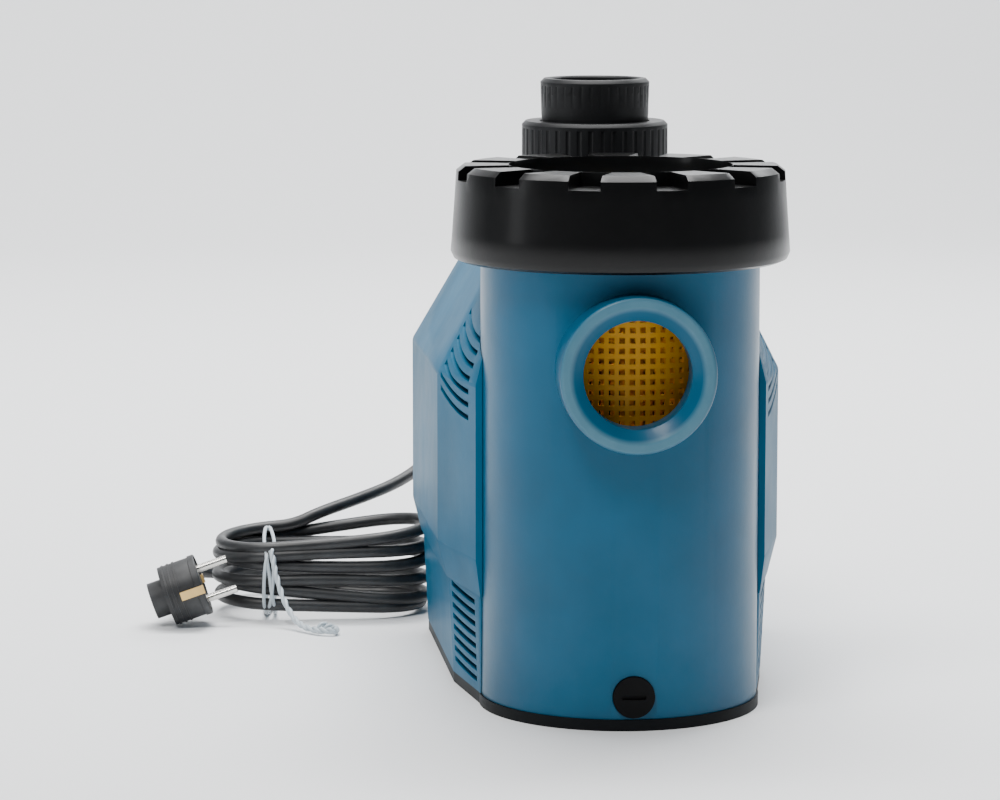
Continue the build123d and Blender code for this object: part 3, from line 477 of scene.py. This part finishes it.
# Strainer basket --------------------------------------------------------------------------------
BASKET_RADIUS = 61.0
BASKET_BOTTOM = 128.0
BASKET_TOP = 261.0
BASKET_WALL = 2.0
MESH_COLUMNS = 70
MESH_ROWS = 23
HOLE_SHARE = 0.55  # of the mesh's pitch
FLOOR_COLUMNS = 30
FLOOR_ROWS = 8
RIM_RADIUS = 73.0
RIM_THICKNESS = 4.0
RIM_ROUND = 0.8
EAR_X = 56.0
EAR_Z = 256.0
EAR_PROFILE = [(2.3, -5), (4.1, -5), (4.5, -4.6), (4.5, 4.6), (4.1, 5), (2.3, 5)]


def lattice_stops(count, start, end):
    """Where bars and holes meet along a side of the mesh, a bar first and last."""
    pitch = (end - start) / count
    stops = []
    for cell in range(count):
        middle = start + (cell + 0.5) * pitch
        stops += [middle - HOLE_SHARE * pitch / 2, middle + HOLE_SHARE * pitch / 2]
    return stops


def hole_at(row, column):
    return row % 2 == 1 and column % 2 == 0


def make_basket():
    """The strainer basket: square mesh in its wall and floor, a rim flange, and the bail's ears."""
    lattice = Shape()
    angles = lattice_stops(MESH_COLUMNS, 0, 2 * math.pi)
    levels = lattice_stops(MESH_ROWS, BASKET_BOTTOM + 3, BASKET_TOP - RIM_THICKNESS)
    levels = [BASKET_BOTTOM] + levels + [BASKET_TOP - 1]
    wall = [[about_z(BASKET_RADIUS, z, angle) for angle in angles] for z in levels]
    lattice.grid(wall, keep=lambda row, column: not hole_at(row, column))
    angles = lattice_stops(FLOOR_COLUMNS, 0, 2 * math.pi)
    radii = [4] + lattice_stops(FLOOR_ROWS, 9, BASKET_RADIUS - 3) + [BASKET_RADIUS]
    floor = [
        [about_z(radius, BASKET_BOTTOM, angle) for angle in reversed(angles)] for radius in radii
    ]
    lattice.grid(floor, keep=lambda row, column: not (row % 2 == 1 and column % 2 == 1))
    basket = new_piece("basket_mesh", lattice.mesh("basket_mesh"), "basket", "yellow_basket")
    shell = basket.modifiers.new("wall", "SOLIDIFY")
    shell.thickness = BASKET_WALL * MM
    shell.offset = -1
    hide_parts("strainer_basket")

    rim = Shape()
    inside = BASKET_RADIUS - BASKET_WALL
    low = BASKET_TOP - RIM_THICKNESS
    rim.turned(
        [
            (inside, low),
            (RIM_RADIUS - RIM_ROUND, low),
            (RIM_RADIUS, low + RIM_ROUND),
            (RIM_RADIUS, BASKET_TOP - RIM_ROUND),
            (RIM_RADIUS - RIM_ROUND, BASKET_TOP),
            (inside + 0.6, BASKET_TOP),
            (inside, BASKET_TOP - 0.6),
        ],
        about_z,
        96,
    )
    hub = [(4.5, 0), (4.5, BASKET_WALL), (0.3, BASKET_WALL), (0.3, 0)]
    rim.turned([(radius, BASKET_BOTTOM + up) for radius, up in hub], about_z, 32)
    for side in (-1, 1):
        rim.turned(
            EAR_PROFILE,
            lambda radius, along, angle: (
                side * EAR_X + along,
                radius * math.cos(angle),
                EAR_Z + radius * math.sin(angle),
            ),
            32,
        )
    new_piece("basket_rim", rim.mesh("basket_rim", 40), "basket", "yellow_basket")


# Wire tie and plug details ----------------------------------------------------------------------
TIE_X = -184.0
TIE_WIRE = 1.1  # radius
TIE_Z = 25.6
TIE_HALF_DEPTH = 39.5
TIE_HALF_HEIGHT = 24.3
TIE_STEPS = 62  # at WRAP_STEPS for each turn round the hank
WRAP_STEPS = 24
TIE_SQUARENESS = 0.72
TWIST_STEPS = 60
TWIST_TURN = 0.95  # radians for each step
TWIST_RADIUS = 1.15
FRAYED_STEPS = 8  # where the two ends open out
TWIST_PATH = [
    (-184, 237, 44),
    (-182, 231, 33),
    (-178, 224, 19),
    (-172, 214, 8),
    (-165, 203, 3.6),
    (-156, 194, 3.2),
    (-147, 192, 3.2),
    (-148, 200, 3.2),
    (-156, 203, 3.2),
]


def add_spline(curve, points):
    spline = curve.splines.new("NURBS")
    spline.points.add(len(points) - 1)
    for point, (x, y, z) in zip(spline.points, points):
        point.co = (x * MM, y * MM, z * MM, 1)
    spline.order_u = 3
    spline.use_endpoint_u = True
    spline.resolution_u = 4


def along_path(path, share):
    """A smooth place on a path of points, with share from 0 to 1."""
    spot = share * (len(path) - 1)
    index = min(int(spot), len(path) - 2)
    part = spot - index
    before = Vector(path[max(index - 1, 0)])
    first, second = Vector(path[index]), Vector(path[index + 1])
    after = Vector(path[min(index + 2, len(path) - 1)])
    return 0.5 * (
        2 * first
        + (second - before) * part
        + (2 * before - 5 * first + 4 * second - after) * part**2
        + (3 * first - before - 3 * second + after) * part**3
    )


def squared(share):
    """Pushes a sine or cosine outwards, so that a loop is squarer than a circle."""
    return math.copysign(abs(share) ** TIE_SQUARENESS, share)


def make_wire_tie():
    """Coated wire wrapped round the hank, whose two ends are twisted and lie on the floor."""
    curve = bpy.data.curves.new("wire_tie", "CURVE")
    curve.dimensions = "3D"
    wraps = []
    for step in range(TIE_STEPS):
        angle = math.pi * 0.72 + 2 * math.pi * step / WRAP_STEPS
        cos, sin = math.cos(angle), math.sin(angle)
        slack = 1 + 0.03 * noise.noise(Vector((step * 0.21, 2.2, 5.1)))
        wraps.append(
            (
                TIE_X + 3.4 * math.sin(1.35 * angle) + 1.5 * cos,
                HANK_CENTRE.y + TIE_HALF_DEPTH * slack * squared(cos),
                TIE_Z + TIE_HALF_HEIGHT * squared(sin),
            )
        )
    add_spline(curve, wraps)
    for phase in (0, math.pi):
        strand = []
        for step in range(TWIST_STEPS + 1):
            place = along_path(TWIST_PATH, step / TWIST_STEPS)
            turn = phase + step * TWIST_TURN
            frayed = max(0, step - TWIST_STEPS + FRAYED_STEPS) / FRAYED_STEPS
            open_end = TWIST_RADIUS + 2.2 * frayed
            strand.append(
                (
                    place.x + open_end * math.cos(turn) * 0.6,
                    place.y + open_end * math.cos(turn) * 0.8,
                    max(1.2, place.z + open_end * math.sin(turn)),
                )
            )
        add_spline(curve, strand)
    curve.bevel_depth = TIE_WIRE * MM
    curve.bevel_resolution = 3
    curve.use_fill_caps = True
    tie = new_piece("wire_tie", curve, "root", "tie_wire")
    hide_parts("cord_tie")
    return tie


PLUG_CENTRE = Vector((-226, 232, 25))
PLUG_TILT = math.radians(19)
PLUG_RADIUS = 18.0
CABLE_BOSS_Y = 252  # where the ribs of the cable boss start
RIB_PITCH = 3.6
GRIP_PITCH = 3.4
CONTACT_OUTLINE = [(-13, -2.6), (-13, 2.6), (1.6, 2.6), (1.6, -2.6)]
BLOCK_FACES = [
    (0, 1, 2, 3),
    (7, 6, 5, 4),
    (0, 4, 5, 1),
    (1, 5, 6, 2),
    (2, 6, 7, 3),
    (3, 7, 4, 0),
]


def on_plug(along, across, up):
    """A point of the plug's own axes: along the pins, across them, and up."""
    cos, sin = math.cos(PLUG_TILT), math.sin(PLUG_TILT)
    return (
        PLUG_CENTRE.x + along * cos - up * sin,
        PLUG_CENTRE.y + across,
        PLUG_CENTRE.z + along * sin + up * cos,
    )


def about_plug(radius, along, angle):
    return on_plug(along, radius * math.cos(angle), radius * math.sin(angle))


def make_plug_details():
    """The plug's raised rim, finger grips and ribbed cable boss, and its two side contacts."""
    trim = Shape()
    trim.turned(
        [
            (PLUG_RADIUS - 1, 0.9),
            (PLUG_RADIUS + 0.2, 0.9),
            (PLUG_RADIUS + 0.7, 0.4),
            (PLUG_RADIUS + 0.7, -3),
            (PLUG_RADIUS - 1, -3.6),
        ],
        about_plug,
    )
    for ring in range(3):
        back = -11.5 - GRIP_PITCH * ring
        trim.turned(
            [
                (PLUG_RADIUS - 1, back),
                (PLUG_RADIUS + 0.5, back - 0.4),
                (PLUG_RADIUS + 0.5, back - 1.4),
                (PLUG_RADIUS - 1, back - 1.8),
            ],
            about_plug,
        )
    for ring in range(6):
        start = CABLE_BOSS_Y + RIB_PITCH * ring
        trim.turned(
            [(5.2, start), (6.9, start + 0.4), (6.9, start + 1.8), (5.2, start + 2.2)],
            lambda radius, along, angle: (
                PLUG_CENTRE.x - 10 + radius * math.cos(angle),
                along,
                PLUG_CENTRE.z - 4 + radius * math.sin(angle),
            ),
            32,
        )
    trim_piece = new_piece("plug_trim", trim.mesh("plug_trim", 40), "root", "plug_body")
    contacts = Shape()
    for side in (-1, 1):
        levels = [PLUG_RADIUS - 1.5, PLUG_RADIUS + 1.0]
        corners = [on_plug(a, side * level, u) for level in levels for a, u in CONTACT_OUTLINE]
        start = len(contacts.verts)
        contacts.verts += [tuple(c * MM for c in corner) for corner in corners]
        turn = 1 if side > 0 else -1
        for face in BLOCK_FACES:
            contacts.faces.append(tuple(start + index for index in face[::turn]))
    contact_mesh = contacts.mesh("plug_contacts")
    contact_piece = new_piece("plug_contacts", contact_mesh, "root", "brass_contacts")
    return [trim_piece, contact_piece]


BEVELS = {  # edge rounding in millimetres, of CAD nodes that show
    "lock_ring": 1.6,
    "motor_hood": 1.0,
    "motor_tray": 0.6,
    "pump_body": 0.6,
    "base_plate": 0.8,
    "mains_plug": 1.4,
    "drain_plug": 0.5,
    "union_nut": 0.3,
    "union_tail": 0.3,
}


BEVEL_ANGLE = 38  # degrees; flatter edges stay as they are


def round_edges():
    """Moulded parts have no knife edges: a small bevel catches the light along them."""
    for name, width in BEVELS.items():
        node = frame["nodes"][name]
        weld = node.modifiers.new("weld", "WELD")
        weld.merge_threshold = 1e-6
        bevel = node.modifiers.new("bevel", "BEVEL")
        bevel.width = width * MM
        bevel.segments = 3
        bevel.limit_method = "ANGLE"
        bevel.angle_limit = math.radians(BEVEL_ANGLE)


make_studio()
dress_cad_nodes()
round_edges()
make_basket()
make_lead()
